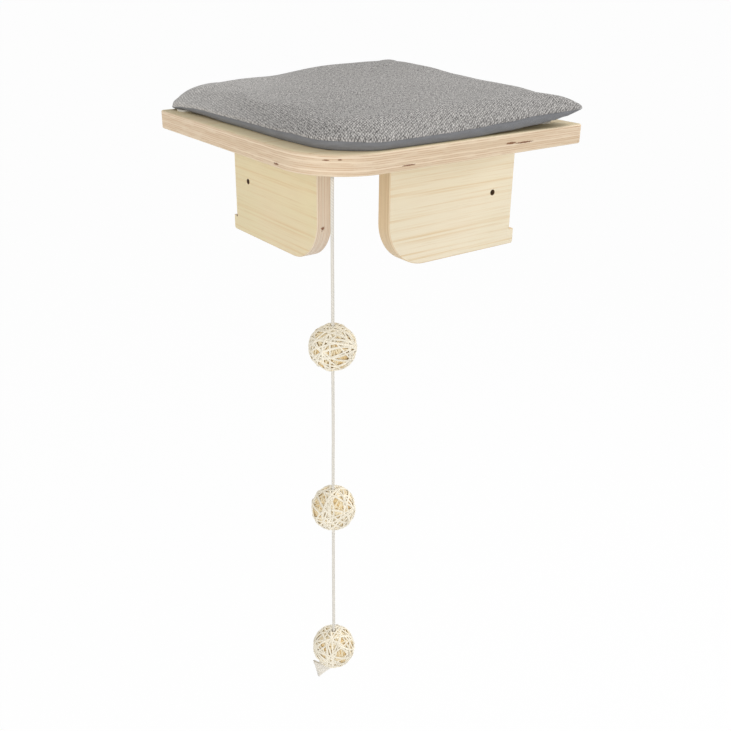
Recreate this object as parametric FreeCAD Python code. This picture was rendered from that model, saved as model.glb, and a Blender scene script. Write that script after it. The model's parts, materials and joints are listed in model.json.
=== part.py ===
import FreeCAD, Part
import math
import os

V = FreeCAD.Vector

# Corner-mounted cat platform: a plywood board on two plywood brackets, a soft pad and a hanging ball toy.
# All sizes in millimetres and degrees. The two room walls are the planes x = 0 and y = 0, the board lies in
# front of both, and z = 0 is the board's underside.

# Board
board_size_x = 300.0
board_size_y = 300.0
board_thickness = 18.0
board_front_radius = 60.0
board_left_radius = 4.0
board_right_radius = 4.0
board_back_radius = 3.0
board_arris = 0.9

# Brackets, the same cut-out used twice
bracket_length = 170.0
bracket_height = 120.0
bracket_thickness = 18.0
left_bracket_setback = 80.0
right_bracket_setback = 80.0
bracket_front_radius = 46.0
bracket_arris = 0.8
wall_notch_depth = 7.0
wall_tab_height = 16.0
wall_tab_corner_radius = 2.5
cross_hole_diameter = 6.0
cross_hole_from_wall = 35.0
cross_hole_below_board = 60.0

# Screws between the board and the brackets
screw_rear_from_wall = 50.0
screw_front_from_wall = 140.0
screw_length = 45.0
screw_shank_diameter = 4.0
screw_head_diameter = 8.0
screw_head_height = 2.6
screw_tip_length = 6.0
screw_head_sink = 0.3
screw_clearance = 0.1
screw_sides = 12

# Hook-and-loop coins that hold the pad
coin_diameter = 20.0
coin_sides = 16
loop_coin_thickness = 1.0
hook_coin_thickness = 1.0
coin_left_from_pad_edges = (6.5, 18.0)
coin_right_from_pad_edges = (26.0, 26.0)
coin_back_from_pad_edges = (26.0, 26.0)
coin_front_from_pad_edges = (56.0, 56.0)

# Pad: a base panel, a narrow side band, a crowned top panel and the foam inside
pad_left_front_margin = 14.5
pad_right_front_margin = 3.5
pad_wall_gap_x = 1.5
pad_wall_gap_y = 1.5
pad_front_radius = 66.0
pad_left_radius = 15.0
pad_right_radius = 13.0
pad_back_radius = 16.0
pad_band_height = 7.0
pad_band_bulge = 0.8
pad_base_draw_in = 2.2
pad_fabric_thickness = 1.4
pad_base_thickness = 1.4
pad_layer_clearance = 0.3
pad_least_radius = 9.0
# The seam lies on a plane that rises along x and y by these shares
pad_seam_slope = (0.0283, 0.0033)
# Rise of the full top above the middle of the seam at the pad's front, right, back and left corners
pad_corner_rises = (10.0, 16.7, 29.4, 13.9)
# Humps and hollows of the top: distance from the pad's left front and right front sides, height and spread
pad_humps = ((59.0, 272.0, 2.2, 33.0), (265.0, 275.0, -2.0, 30.0), (265.0, 171.0, -2.4, 33.0), (277.0, 2.5, 2.4, 24.0))
# Run over which the top rolls up from the seam at the same corners, and along the front and the wall sides
pad_corner_runs = (44.0, 60.0, 26.0, 64.0)
pad_front_run = 40.0
pad_wall_run = 24.0
pad_roll_shares = (0.05, 0.18, 0.5, 1.0)
pad_roll_powers = (2.3, 0.72)
pad_arc_steps = (8, 3, 3, 3)
pad_side_steps = 4

# Cord with its knots
cord_diameter = 3.0
cord_from_front_edges = (33.7, 35.9)
cord_hole_clearance = 0.5
cord_end_gap = 0.9
knot_seat_gap = 0.3
cord_knot_clearance = 0.05
knot_sides = 10
knot_wraps = 2
knot_wrap_draw_in = 0.8
anchor_recess_diameter = 13.0
anchor_recess_depth = 9.0
anchor_knot_diameter = 10.0
anchor_knot_height = 7.0
swing_pivot_drop = 2.0
swing_pivot_step = 8.0
stop_knot_diameter = 8.4
stop_knot_height = 7.0
exit_pivot_drop = 4.0

# Balls: a plain core under one outer layer of strand
ball_diameter = 45.0
upper_ball_drop = 161.5
middle_ball_spacing = 173.0
lower_ball_spacing = 175.0
ball_bore_clearance = 0.6
knot_pocket_clearance = 0.6
knot_pocket_roof = 12.0
strand_diameter = 2.4
strand_turns = 3
strand_polar_margin = 15.0
strand_core_clearance = 0.3
core_sides = 14
core_cap_latitude = 68.0
core_bands = 6

# Frayed end of the cord below the last ball
tail_reach_top = 20.5
tail_reach_bottom = 14.5
tail_drop_bottom = 16.5
tail_ball_gap = 2.0
tail_thickness = 2.4
tail_heading = 144.46

os.makedirs("parts", exist_ok=True)


def save(name, shape):
    """Check one piece and write it to its own file."""
    if not shape.isValid() or len(shape.Solids) != 1:
        print("CHECK", name, "valid", shape.isValid(), "solids", len(shape.Solids))
    solid = shape.Solids[0]
    solid.exportStep("parts/" + name + ".step")
    box = solid.optimalBoundingBox(False)
    print(name, "volume", round(solid.Volume, 1), "faces", len(solid.Faces),
          "size", round(box.XLength, 1), round(box.YLength, 1), round(box.ZLength, 1))


def cylinder(radius, z_low, z_high, x=0.0, y=0.0):
    """Upright cylinder between two heights."""
    return Part.makeCylinder(radius, z_high - z_low, V(x, y, z_low))


def outline(x0, y0, x1, y1, radii):
    """Rounded rectangle of lines and quarter arcs, from the front corner round."""
    front, right, back, left = radii
    h = math.sqrt(0.5)
    points = [V(x0, y0 + front, 0), V(x0 + front * (1 - h), y0 + front * (1 - h), 0), V(x0 + front, y0, 0),
              V(x1 - right, y0, 0), V(x1 - right * (1 - h), y0 + right * (1 - h), 0), V(x1, y0 + right, 0),
              V(x1, y1 - back, 0), V(x1 - back * (1 - h), y1 - back * (1 - h), 0), V(x1 - back, y1, 0),
              V(x0 + left, y1, 0), V(x0 + left * (1 - h), y1 - left * (1 - h), 0), V(x0, y1 - left, 0)]
    edges = []
    for k in range(4):
        a, b, c = points[3 * k:3 * k + 3]
        edges.append(Part.Arc(a, b, c).toShape())
        edges.append(Part.LineSegment(c, points[(3 * k + 3) % 12]).toShape())
    return Part.Wire(edges)


def revolved(profile):
    """Solid of revolution about Z from (radius, height) points joined by lines."""
    points = [V(r, 0, z) for r, z in profile]
    face = Part.Face(Part.makePolygon(points + points[:1]))
    return face.revolve(V(0, 0, 0), V(0, 0, 1), 360)


def faceted(profile, sides):
    """The same with flat sides: each line of the closed (radius, height) profile makes a ring of flat faces."""
    def corner(r, z, i):
        angle = 2 * math.pi * i / sides
        return V(r * math.cos(angle), r * math.sin(angle), z)

    faces = []
    for (r0, z0), (r1, z1) in zip(profile, profile[1:] + profile[:1]):
        for i in range(sides):
            ring = [corner(r0, z0, i), corner(r0, z0, i + 1), corner(r1, z1, i + 1), corner(r1, z1, i)]
            ring = [p for k, p in enumerate(ring) if p.distanceToPoint(ring[k - 1]) > 1e-6]
            if len(ring) > 2:
                faces.append(Part.Face(Part.makePolygon(ring + ring[:1])))
    return Part.Solid(Part.makeShell(faces)).removeSplitter()


# Places of the brackets, shared by the holes and screws
left_face_x = -board_size_x + left_bracket_setback
right_face_y = -board_size_y + right_bracket_setback
left_axis_x = left_face_x + bracket_thickness / 2
right_axis_y = right_face_y + bracket_thickness / 2


def on_left(from_wall):
    """Plan point on the left bracket's middle line."""
    return left_axis_x, -from_wall


def on_right(from_wall):
    """Plan point on the right bracket's middle line."""
    return -from_wall, right_axis_y


screw_places = {
    "left_bracket_screw_rear": on_left(screw_rear_from_wall),
    "left_bracket_screw_front": on_left(screw_front_from_wall),
    "right_bracket_screw_rear": on_right(screw_rear_from_wall),
    "right_bracket_screw_front": on_right(screw_front_from_wall),
}
cord_x = -board_size_x + cord_from_front_edges[0]
cord_y = -board_size_y + cord_from_front_edges[1]
cord_radius = cord_diameter / 2


# Screws, and the holes that they need
screw_top = board_thickness - screw_head_sink
screw_radius = screw_shank_diameter / 2
screw_head_radius = screw_head_diameter / 2


def screw_at(x, y):
    """Countersunk wood screw: flat head, cone, shank and point."""
    z = screw_top
    tip = z - screw_length
    body = faceted([(0, z), (screw_head_radius, z), (screw_radius, z - screw_head_height),
                    (screw_radius, tip + screw_tip_length), (0, tip)], screw_sides)
    body.translate(V(x, y, 0))
    return body


def screw_hole_at(x, y):
    """Room for the screw: the same form with a clearance, open at the top face."""
    z = screw_top
    c = screw_clearance
    tip = z - screw_length - c
    slope = (screw_head_radius - screw_radius) / screw_head_height
    mouth = screw_head_radius + slope * (screw_head_sink + c)
    foot = z - screw_head_height
    room = revolved([(0, board_thickness), (mouth + c, board_thickness), (screw_radius + c, foot - c / slope),
                     (screw_radius + c, tip), (0, tip)])
    room.translate(V(x, y, 0))
    return room


# Board
board_radii = (board_front_radius, board_right_radius, board_back_radius, board_left_radius)
board_wire = outline(-board_size_x, -board_size_y, 0, 0, board_radii)
board = Part.Face(board_wire).extrude(V(0, 0, board_thickness))
rims = [e for e in board.Edges if abs(e.Vertexes[0].Z - e.Vertexes[-1].Z) < 1e-6]
board = board.makeChamfer(board_arris, rims)
cord_hole_radius = cord_radius + cord_hole_clearance
anchor_floor = board_thickness - anchor_recess_depth
board = board.cut(cylinder(cord_hole_radius, -1, board_thickness + 1, cord_x, cord_y))
board = board.cut(cylinder(anchor_recess_diameter / 2, anchor_floor, board_thickness + 1, cord_x, cord_y))
for place in screw_places.values():
    board = board.cut(screw_hole_at(*place))
save("platform_board", board)


def bracket_blank():
    """Bracket cut-out with its wall end at the origin, length along +X, thickness along +Y, top at z = 0."""
    n, length, h = wall_notch_depth, bracket_length, bracket_height
    r, q = bracket_front_radius, wall_tab_corner_radius
    s = math.sqrt(0.5)
    p = [V(n, 0, 0), V(length, 0, 0), V(length, 0, -h + r), V(length - r + r * s, 0, -h + r - r * s),
         V(length - r, 0, -h), V(q, 0, -h), V(q - q * s, 0, -h + q - q * s), V(0, 0, -h + q),
         V(0, 0, -h + wall_tab_height), V(n, 0, -h + wall_tab_height)]
    edges = [Part.LineSegment(p[0], p[1]).toShape(), Part.LineSegment(p[1], p[2]).toShape(),
             Part.Arc(p[2], p[3], p[4]).toShape(), Part.LineSegment(p[4], p[5]).toShape(),
             Part.Arc(p[5], p[6], p[7]).toShape(), Part.LineSegment(p[7], p[8]).toShape(),
             Part.LineSegment(p[8], p[9]).toShape(), Part.LineSegment(p[9], p[0]).toShape()]
    body = Part.Face(Part.Wire(edges)).extrude(V(0, bracket_thickness, 0))
    soft = []
    for e in body.Edges:
        m = e.CenterOfMass
        level = abs(e.Vertexes[0].Y - e.Vertexes[-1].Y) < 1e-6
        if level and m.z < -1e-6 and not (m.x < n + 1e-6 and m.z > -h + wall_tab_height - 1e-6):
            if not (m.x < 1e-6 and m.z > -h + q):
                soft.append(e)
    body = body.makeChamfer(bracket_arris, soft)
    hole = Part.makeCylinder(cross_hole_diameter / 2, bracket_thickness + 2,
                             V(cross_hole_from_wall, -1, -cross_hole_below_board), V(0, 1, 0))
    return body.cut(hole)


left_bracket = bracket_blank()
left_bracket.rotate(V(0, 0, 0), V(0, 0, 1), -90)
left_bracket.translate(V(left_face_x, 0, 0))
right_bracket = bracket_blank()
right_bracket.rotate(V(0, 0, 0), V(0, 0, 1), 180)
right_bracket.translate(V(0, right_face_y + bracket_thickness, 0))
for name, place in screw_places.items():
    if name.startswith("left"):
        left_bracket = left_bracket.cut(screw_hole_at(*place))
    else:
        right_bracket = right_bracket.cut(screw_hole_at(*place))
    save(name, screw_at(*place))
save("left_bracket", left_bracket)
save("right_bracket", right_bracket)


# Pad. Its base lies on the pairs of coins, so it stands off the board by their two thicknesses.
pad_x1, pad_y1 = -pad_wall_gap_x, -pad_wall_gap_y
pad_x0, pad_y0 = -board_size_x + pad_left_front_margin, -board_size_y + pad_right_front_margin
pad_radii = (pad_front_radius, pad_right_radius, pad_back_radius, pad_left_radius)
coin_face = board_thickness + loop_coin_thickness
pad_base = coin_face + hook_coin_thickness
pad_floor = pad_base + pad_base_thickness
pad_seam = pad_floor + pad_band_height


pad_middle = V((pad_x0 + pad_x1) / 2, (pad_y0 + pad_y1) / 2, 0)


def pad_wire(inset, z, slope=(0.0, 0.0)):
    """Pad outline drawn in on all sides, level or on a plane that rises along x and y."""
    radii = [max(r - inset, pad_least_radius) for r in pad_radii]
    wire = outline(pad_x0 + inset, pad_y0 + inset, pad_x1 - inset, pad_y1 - inset, radii)
    steep = math.hypot(*slope)
    if steep > 0:
        wire.rotate(pad_middle, V(slope[1], -slope[0], 0), math.degrees(math.atan(steep)))
    wire.translate(V(0, 0, z))
    return wire


def pad_edge():
    """Points round the pad's plan from its front corner, each with its outward direction and its roll's run."""
    places = []
    corners = ((pad_x0, pad_y0, 1, 1), (pad_x1, pad_y0, -1, 1), (pad_x1, pad_y1, -1, -1), (pad_x0, pad_y1, 1, -1))
    side_runs = (pad_front_run, pad_wall_run, pad_wall_run, pad_front_run)
    for k, (x, y, to_x, to_y) in enumerate(corners):
        r = pad_radii[k]
        for i in range(pad_arc_steps[k] + 1):
            t = math.radians(180 + 90 * (k + i / pad_arc_steps[k]))
            out = V(math.cos(t), math.sin(t), 0)
            places.append((V(x + to_x * r, y + to_y * r, 0) + out * r, out, pad_corner_runs[k]))
        next_x, next_y, next_to_x, next_to_y = corners[(k + 1) % 4]
        next_r = pad_radii[(k + 1) % 4]
        begin = places[-1][0]
        end = V(next_x + next_to_x * next_r, next_y + next_to_y * next_r, 0) + out * next_r
        for i in range(1, pad_side_steps):
            places.append((begin + (end - begin) * (i / pad_side_steps), out, side_runs[k]))
    return places


def seam_height(p):
    """Height of the seam's plane at a plan point."""
    return pad_seam + pad_seam_slope[0] * (p.x - pad_middle.x) + pad_seam_slope[1] * (p.y - pad_middle.y)


def full_height(p):
    """Height of the top at a plan point, away from the edges: between its corners, with the humps and hollows."""
    u = (p.x - pad_x0) / (pad_x1 - pad_x0)
    v = (p.y - pad_y0) / (pad_y1 - pad_y0)
    front, right, back, left = pad_corner_rises
    rise = (front * (1 - u) + right * u) * (1 - v) + (left * (1 - u) + back * u) * v
    for x, y, height, spread in pad_humps:
        rise += height * math.exp(-((p.x - pad_x0 - x) ** 2 + (p.y - pad_y0 - y) ** 2) / spread ** 2)
    return pad_seam + rise


def pad_crown():
    """Crowned top panel with its filling: rings of flat faces that roll up from the seam and close at the middle."""
    edge = pad_edge()
    rings = [[V(p.x, p.y, seam_height(p)) for p, out, run in edge]]
    for share in pad_roll_shares:
        full = (1 - (1 - share) ** pad_roll_powers[0]) ** pad_roll_powers[1]
        ring = []
        for p, out, run in edge:
            q = p + (pad_middle - p) * (run * share / (p - pad_middle).dot(out))
            low = seam_height(p)
            ring.append(V(q.x, q.y, low + (full_height(q) - low) * full))
        rings.append(ring)
    halfway = [(V(p.x, p.y, 0) + pad_middle) * 0.5 for p in rings[-1]]
    rings.append([V(p.x, p.y, full_height(p)) for p in halfway])
    rings.append([V(pad_middle.x, pad_middle.y, full_height(pad_middle))] * len(edge))
    faces = [Part.Face(Part.makePolygon(rings[0] + rings[0][:1]))]
    for lower, upper in zip(rings[:-1], rings[1:]):
        for i in range(len(edge)):
            a, b, c, d = lower[i - 1], lower[i], upper[i], upper[i - 1]
            faces.append(Part.Face(Part.makePolygon([a, b, c, a])))
            if c.distanceToPoint(d) > 1e-6:
                faces.append(Part.Face(Part.makePolygon([a, c, d, a])))
    return Part.Solid(Part.makeShell(faces))


def pad_walls():
    """Lower part of the pad between its base panel and the seam, a little fuller at half height."""
    half = (pad_floor + pad_seam) / 2
    half_slope = tuple(g / 2 for g in pad_seam_slope)
    wires = [pad_wire(pad_base_draw_in, pad_floor), pad_wire(-pad_band_bulge, half, half_slope),
             pad_wire(0, pad_seam, pad_seam_slope)]
    return Part.makeLoft(wires, True, True)


def pad_slab(inset, z_low, z_high):
    """Flat layer of the pad between two heights."""
    return Part.Face(pad_wire(inset, z_low)).extrude(V(0, 0, z_high - z_low))


def pad_filling(inset):
    """Foam from the base panel up to the sloping seam."""
    return Part.makeLoft([pad_wire(inset, pad_floor), pad_wire(inset, pad_seam, pad_seam_slope)], True, True)


save("pad_top_panel", pad_crown())
band_inside = pad_base_draw_in + pad_fabric_thickness
save("pad_side_band", pad_walls().cut(pad_slab(band_inside, pad_floor, pad_seam + max(pad_corner_rises))))
save("pad_foam", pad_filling(band_inside + pad_layer_clearance))
save("pad_base_panel", pad_slab(pad_base_draw_in, pad_base, pad_floor))

# Coins: the loop half on the board, the hook half under the pad
coin_places = {
    "left": (pad_x0 + coin_left_from_pad_edges[0], pad_y1 - coin_left_from_pad_edges[1]),
    "right": (pad_x1 - coin_right_from_pad_edges[0], pad_y0 + coin_right_from_pad_edges[1]),
    "back": (pad_x1 - coin_back_from_pad_edges[0], pad_y1 - coin_back_from_pad_edges[1]),
    "front": (pad_x0 + coin_front_from_pad_edges[0], pad_y0 + coin_front_from_pad_edges[1]),
}


def coin_at(x, y, z_low, z_high):
    """Flat coin between two heights."""
    r = coin_diameter / 2
    body = faceted([(0, z_low), (r, z_low), (r, z_high), (0, z_high)], coin_sides)
    body.translate(V(x, y, 0))
    return body


for corner, (x, y) in coin_places.items():
    save("loop_coin_" + corner, coin_at(x, y, board_thickness, coin_face))
    save("hook_coin_" + corner, coin_at(x, y, coin_face, pad_base))


def knot(diameter, height, z_low):
    """Barrel knot: full wraps drawn in between, with a bore for the cord."""
    bore = (cord_radius + cord_knot_clearance) / math.cos(math.pi / knot_sides)
    big = diameter / 2
    waist = big - knot_wrap_draw_in
    wrap = height / knot_wraps
    profile = [(bore, height), (bore, 0), (waist, 0)]
    for k in range(knot_wraps):
        profile += [(big, (k + 0.3) * wrap), (big, (k + 0.7) * wrap), (waist, (k + 1) * wrap)]
    body = faceted(profile, knot_sides)
    body.translate(V(cord_x, cord_y, z_low))
    return body


def hanging_cord(pivot, z_low):
    """Straight stretch of cord that swings from the pivot at its head."""
    print("cord stretch", round(pivot - z_low, 1))
    return cylinder(cord_radius, z_low, pivot, cord_x, cord_y)


# Heights along the cord
neck_pivot = -swing_pivot_drop
upper_pivot = neck_pivot - swing_pivot_step
ball_radius = ball_diameter / 2
ball_heights = [-upper_ball_drop, -upper_ball_drop - middle_ball_spacing]
ball_heights.append(ball_heights[1] - lower_ball_spacing)
middle_pivot = ball_heights[0] - ball_radius - exit_pivot_drop
lower_pivot = ball_heights[1] - ball_radius - exit_pivot_drop
cord_foot = ball_heights[2] - ball_radius - tail_ball_gap

# Cord in the board, with the anchor knot that carries it in its recess
stem_top = anchor_floor + anchor_knot_height
save("cord_stem", cylinder(cord_radius, neck_pivot + cord_end_gap, stem_top, cord_x, cord_y))
save("cord_anchor_knot", knot(anchor_knot_diameter, anchor_knot_height, anchor_floor))

# Hanging stretches
save("cord_neck", hanging_cord(neck_pivot, upper_pivot + cord_end_gap))
save("cord_upper", hanging_cord(upper_pivot, middle_pivot + cord_end_gap))
save("cord_middle", hanging_cord(middle_pivot, lower_pivot + cord_end_gap))
save("cord_lower", hanging_cord(lower_pivot, cord_foot))


# Balls
strand_reach = strand_diameter / 2
strand_radius = ball_radius - strand_reach
core_radius = strand_radius - strand_reach * math.cos(math.radians(60)) - strand_core_clearance
strand_step = (180.0 - 2 * strand_polar_margin) / strand_turns
# The winding's own axis leans so that the cord runs midway between two turns, above and below
strand_axis_lean = 90.0 + strand_step * (0.25 - 1.5)


def strand_point(turn):
    """Point and direction of the strand after a number of turns, counted from the middle of the winding."""
    polar = math.radians(90.0 + strand_step * turn)
    rate = math.radians(strand_step) / (2 * math.pi)
    t = 2 * math.pi * turn
    sp, cp, st, ct = math.sin(polar), math.cos(polar), math.sin(t), math.cos(t)
    point = V(sp * ct, sp * st, cp) * strand_radius
    along = V(rate * cp * ct - sp * st, rate * cp * st + sp * ct, -rate * sp)
    return point, along.normalize()


def arc_from(start, along, end):
    """Circular arc that leaves a point in a given direction and ends at another."""
    chord = end - start
    half = chord.Length / 2
    unit = V(chord).normalize()
    side = along - unit * along.dot(unit)
    if side.Length < 1e-9:
        return Part.LineSegment(start, end).toShape(), [start, end]
    angle = math.atan2(side.Length, along.dot(unit))
    middle = (start + end) * 0.5 + side.normalize() * (half * math.tan(angle / 2))
    edge = Part.Arc(start, middle, end).toShape()
    return edge, edge.discretize(9)


def biarc(p, u, q, w):
    """Two tangent arcs from point p along u to point q along w."""
    span = q - p
    both = u + w
    c = 2 * (1 - u.dot(w))
    b = span.dot(both)
    reach = (-b + math.sqrt(b * b + c * span.dot(span))) / c
    joint = (p + u * reach + q - w * reach) * 0.5
    first, first_points = arc_from(p, u, joint)
    back, back_points = arc_from(q, w * -1, joint)
    second = Part.Arc(joint, back_points[4], q).toShape()
    return [first, second], first_points[:-1] + back_points[::-1][:-1]


def winding():
    """One unbroken strand laid round the core as a steady spiral, with straight ends."""
    quarters = 4 * strand_turns
    places = [strand_point(k / 4 - strand_turns / 2) for k in range(quarters + 1)]
    first, along = places[0]
    last, onward = places[-1]
    edges = [Part.LineSegment(first - along * strand_diameter, first).toShape()]
    points = [first - along * strand_diameter]
    for (p, u), (q, w) in zip(places[:-1], places[1:]):
        arcs, marks = biarc(p, u, q, w)
        edges += arcs
        points += marks
    edges.append(Part.LineSegment(last, last + onward * strand_diameter).toShape())
    points += [last, last + onward * strand_diameter]
    least = 1e9
    for i, a in enumerate(points):
        for b in points[i + 24:]:
            least = min(least, a.distanceToPoint(b))
    print("winding least gap to itself", round(least - 2 * strand_reach, 2))
    start = points[0]
    across = V(start).normalize()
    across = (across - along * across.dot(along)).normalize()
    other = along.cross(across)
    turns = [math.radians(120 * k) for k in range(3)]
    corners = [start + across * (strand_reach * math.cos(t)) + other * (strand_reach * math.sin(t)) for t in turns]
    profile = Part.makePolygon(corners + corners[:1])
    tube = Part.Wire(edges).makePipeShell([profile], True, False)
    tube.rotate(V(0, 0, 0), V(0, 0, 1), -90)
    tube.rotate(V(0, 0, 0), V(0, 1, 0), -strand_axis_lean)
    length = sum(e.Length for e in edges)
    print("strand length", round(length, 1), "volume", round(tube.Volume, 1))
    away = min(math.hypot(p.x, p.y) for e in tube.Edges for p in e.discretize(5))
    print("strand stays off the cord by", round(away - cord_radius, 2))
    return tube


pocket_radius = (stop_knot_diameter + knot_pocket_clearance) / 2


def core():
    """Plain many-sided core with the cord's bore and a pocket below for the stop knot."""
    lats = [math.radians(core_cap_latitude * (2 * k / core_bands - 1)) for k in range(core_bands + 1)]
    profile = [(core_radius * math.cos(a), core_radius * math.sin(a)) for a in lats]
    bore = (cord_radius + ball_bore_clearance) / math.cos(math.pi / core_sides)
    pocket = pocket_radius / math.cos(math.pi / core_sides)
    low, high = profile[0][1], profile[-1][1]
    inside = [(bore, high), (bore, -knot_pocket_roof), (pocket, -knot_pocket_roof), (pocket, low)]
    return faceted(profile + inside, core_sides)


core_solid = core()
winding_solid = winding()
for name, height in zip(("upper", "middle", "lower"), ball_heights):
    place = V(cord_x, cord_y, height)
    ball_core = core_solid.copy()
    ball_core.translate(place)
    save("ball_" + name + "_core", ball_core)
    ball_strand = winding_solid.copy()
    ball_strand.translate(place)
    save("ball_" + name + "_winding", ball_strand)
    knot_top = height - knot_pocket_roof - knot_seat_gap
    save("stop_knot_" + name, knot(stop_knot_diameter, stop_knot_height, knot_top - stop_knot_height))


# Frayed cord end: a flat fan whose upper edge keeps an even gap round the ball above it
def tail():
    """Fan profile in the (outward, up) plane, with heights counted from the ball's lowest point."""
    sweep = ball_radius + tail_ball_gap
    gap, r = tail_ball_gap, cord_radius

    def on_sweep(u):
        return V(u, 0, ball_radius - math.sqrt(sweep * sweep - u * u))

    a, b = on_sweep(r), on_sweep(tail_reach_top)
    middle = on_sweep((r + tail_reach_top) / 2)
    c = V(tail_reach_bottom, 0, -tail_drop_bottom)
    d = V(r, 0, -gap - 2 * r)
    e = V(-r, 0, -gap)
    edges = [Part.LineSegment(e, V(r, 0, -gap)).toShape(), Part.LineSegment(V(r, 0, -gap), a).toShape(),
             Part.Arc(a, middle, b).toShape(), Part.LineSegment(b, c).toShape(),
             Part.Arc(c, (c + d) * 0.5 + V(0, 0, 0.9), d).toShape(),
             Part.Arc(d, V(-r * 0.55, 0, -gap - 1.35 * r), e).toShape()]
    body = Part.Face(Part.Wire(edges)).extrude(V(0, tail_thickness, 0))
    body.translate(V(0, -tail_thickness / 2, 0))
    body.rotate(V(0, 0, 0), V(0, 0, 1), tail_heading)
    body.translate(V(cord_x, cord_y, ball_heights[2] - ball_radius))
    return body


save("frayed_tail", tail())
print("pivots", neck_pivot, upper_pivot, middle_pivot, lower_pivot, "balls", ball_heights)
print("pad base", pad_base, "seam", pad_seam)
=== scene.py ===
"""Corner cat perch: looks for the plywood platform, its pad and the hanging ball toy."""
import json
import math

import bmesh
import bpy
import numpy as np
from mathutils import Matrix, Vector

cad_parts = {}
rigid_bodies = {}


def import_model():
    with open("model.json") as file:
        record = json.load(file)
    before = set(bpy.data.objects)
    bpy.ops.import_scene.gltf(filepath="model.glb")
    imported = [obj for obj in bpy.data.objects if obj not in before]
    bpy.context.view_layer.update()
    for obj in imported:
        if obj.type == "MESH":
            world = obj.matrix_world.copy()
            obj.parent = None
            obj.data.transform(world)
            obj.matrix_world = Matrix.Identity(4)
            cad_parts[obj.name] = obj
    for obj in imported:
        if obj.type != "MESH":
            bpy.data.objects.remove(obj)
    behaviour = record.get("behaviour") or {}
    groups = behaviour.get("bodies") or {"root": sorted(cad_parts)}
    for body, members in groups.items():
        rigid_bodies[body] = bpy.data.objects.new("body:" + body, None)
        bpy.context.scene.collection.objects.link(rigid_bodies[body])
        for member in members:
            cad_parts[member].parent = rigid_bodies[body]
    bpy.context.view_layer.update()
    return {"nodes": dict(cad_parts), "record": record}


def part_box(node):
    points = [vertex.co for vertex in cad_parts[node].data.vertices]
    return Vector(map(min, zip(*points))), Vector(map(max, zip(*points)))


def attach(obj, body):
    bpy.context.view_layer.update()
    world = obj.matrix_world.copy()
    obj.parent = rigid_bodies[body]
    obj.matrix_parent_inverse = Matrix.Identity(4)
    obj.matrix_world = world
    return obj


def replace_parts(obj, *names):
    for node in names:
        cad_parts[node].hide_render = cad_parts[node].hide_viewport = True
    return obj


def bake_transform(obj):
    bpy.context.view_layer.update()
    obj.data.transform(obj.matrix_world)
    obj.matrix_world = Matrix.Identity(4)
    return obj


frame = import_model()

bl_info = {
    "name": "Corner cat perch",
    "version": (1, 0, 0),
    "blender": (4, 5, 0),
    "location": "View3D > Sidebar > Cat perch",
    "description": "Dresses a corner cat platform with plywood, a woven pad and a cord of wound balls",
    "category": "Object",
}

BALLS = ("upper", "middle", "lower")
CORNERS = ("left", "right", "back", "front")


def tone(red, green, blue):
    """Linear colour from screen values between 0 and 255."""
    share = np.array([red, green, blue]) / 255.0
    line = np.where(share <= 0.04045, share / 12.92, ((share + 0.055) / 1.055) ** 2.4)
    return tuple(float(c) for c in line)


def colour(name, about, default):
    """A colour property."""
    return bpy.props.FloatVectorProperty(name=name, description=about, default=default, subtype="COLOR",
                                         size=3, min=0, max=1)


def length(name, about, default):
    """A length property in metres."""
    return bpy.props.FloatProperty(name=name, description=about, default=default, min=0, unit="LENGTH",
                                   precision=5)


def bearing(name, about, degrees):
    """An angle property, with its default given in degrees."""
    return bpy.props.FloatProperty(name=name, description=about, default=math.radians(degrees),
                                   subtype="ANGLE")


class WoodSettings(bpy.types.PropertyGroup):
    """Plywood of the board and brackets."""

    face: colour("Face veneer", "Pale ground of the face veneer", tone(232, 218, 180))
    blush: colour("Veneer blush", "Pinker patches of the face veneer", tone(236, 216, 184))
    bleached: colour("Bleached veneer", "Paler veneer of the right bracket", tone(242, 232, 212))
    streak: colour("Veneer streaks", "Warmer streaks along the grain", tone(222, 193, 145))
    long_ply: colour("Long plies", "Edge of the plies cut along their grain", tone(233, 213, 186))
    cross_ply: colour("Cross plies", "Edge of the plies cut across their grain", tone(219, 196, 166))
    glue: colour("Glue lines", "Thin lines between the plies", tone(190, 142, 100))
    void: colour("Voids", "Open gaps in the inner plies", tone(122, 72, 34))
    fleck: colour("Veneer flecks", "Fine darker fibres of the face veneer", tone(206, 176, 126))
    end_grain: colour("End grain", "Darker fibres of the cross plies", tone(204, 172, 134))
    bore: colour("Bores", "Shade inside the bores", tone(84, 50, 26))
    ply: length("Ply thickness", "Thickness of one ply", 0.0018)


class PadSettings(bpy.types.PropertyGroup):
    """Soft pad on the board."""

    # The sunk gaps' dark colour is partly painted shade between the raised dots
    light: colour("Weave, raised", "Raised dots of the woven top", tone(216, 212, 208))
    dark: colour("Weave, sunk", "Gaps between the raised dots", tone(84, 82, 80))
    cloud: colour("Weave, clouds", "Slow greyer patches of the woven top", tone(120, 118, 117))
    # Painted light and painted shade: the woven top is painted paler towards the left corner and darker towards
    # the walls
    nap: colour("Weave, nap", "Paler nap towards the left corner", tone(235, 232, 228))
    shade: colour("Weave, shade", "Darker nap towards the walls", tone(96, 94, 92))
    band: colour("Side band", "Plain cloth of the side band", tone(126, 127, 130))
    under: colour("Underside", "Plain cloth of the base", tone(110, 111, 114))
    pitch: length("Weave pitch", "Distance from dot to dot of the weave", 0.0025)
    coin: colour("Coins", "Hook-and-loop coins", tone(226, 221, 210))


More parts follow.
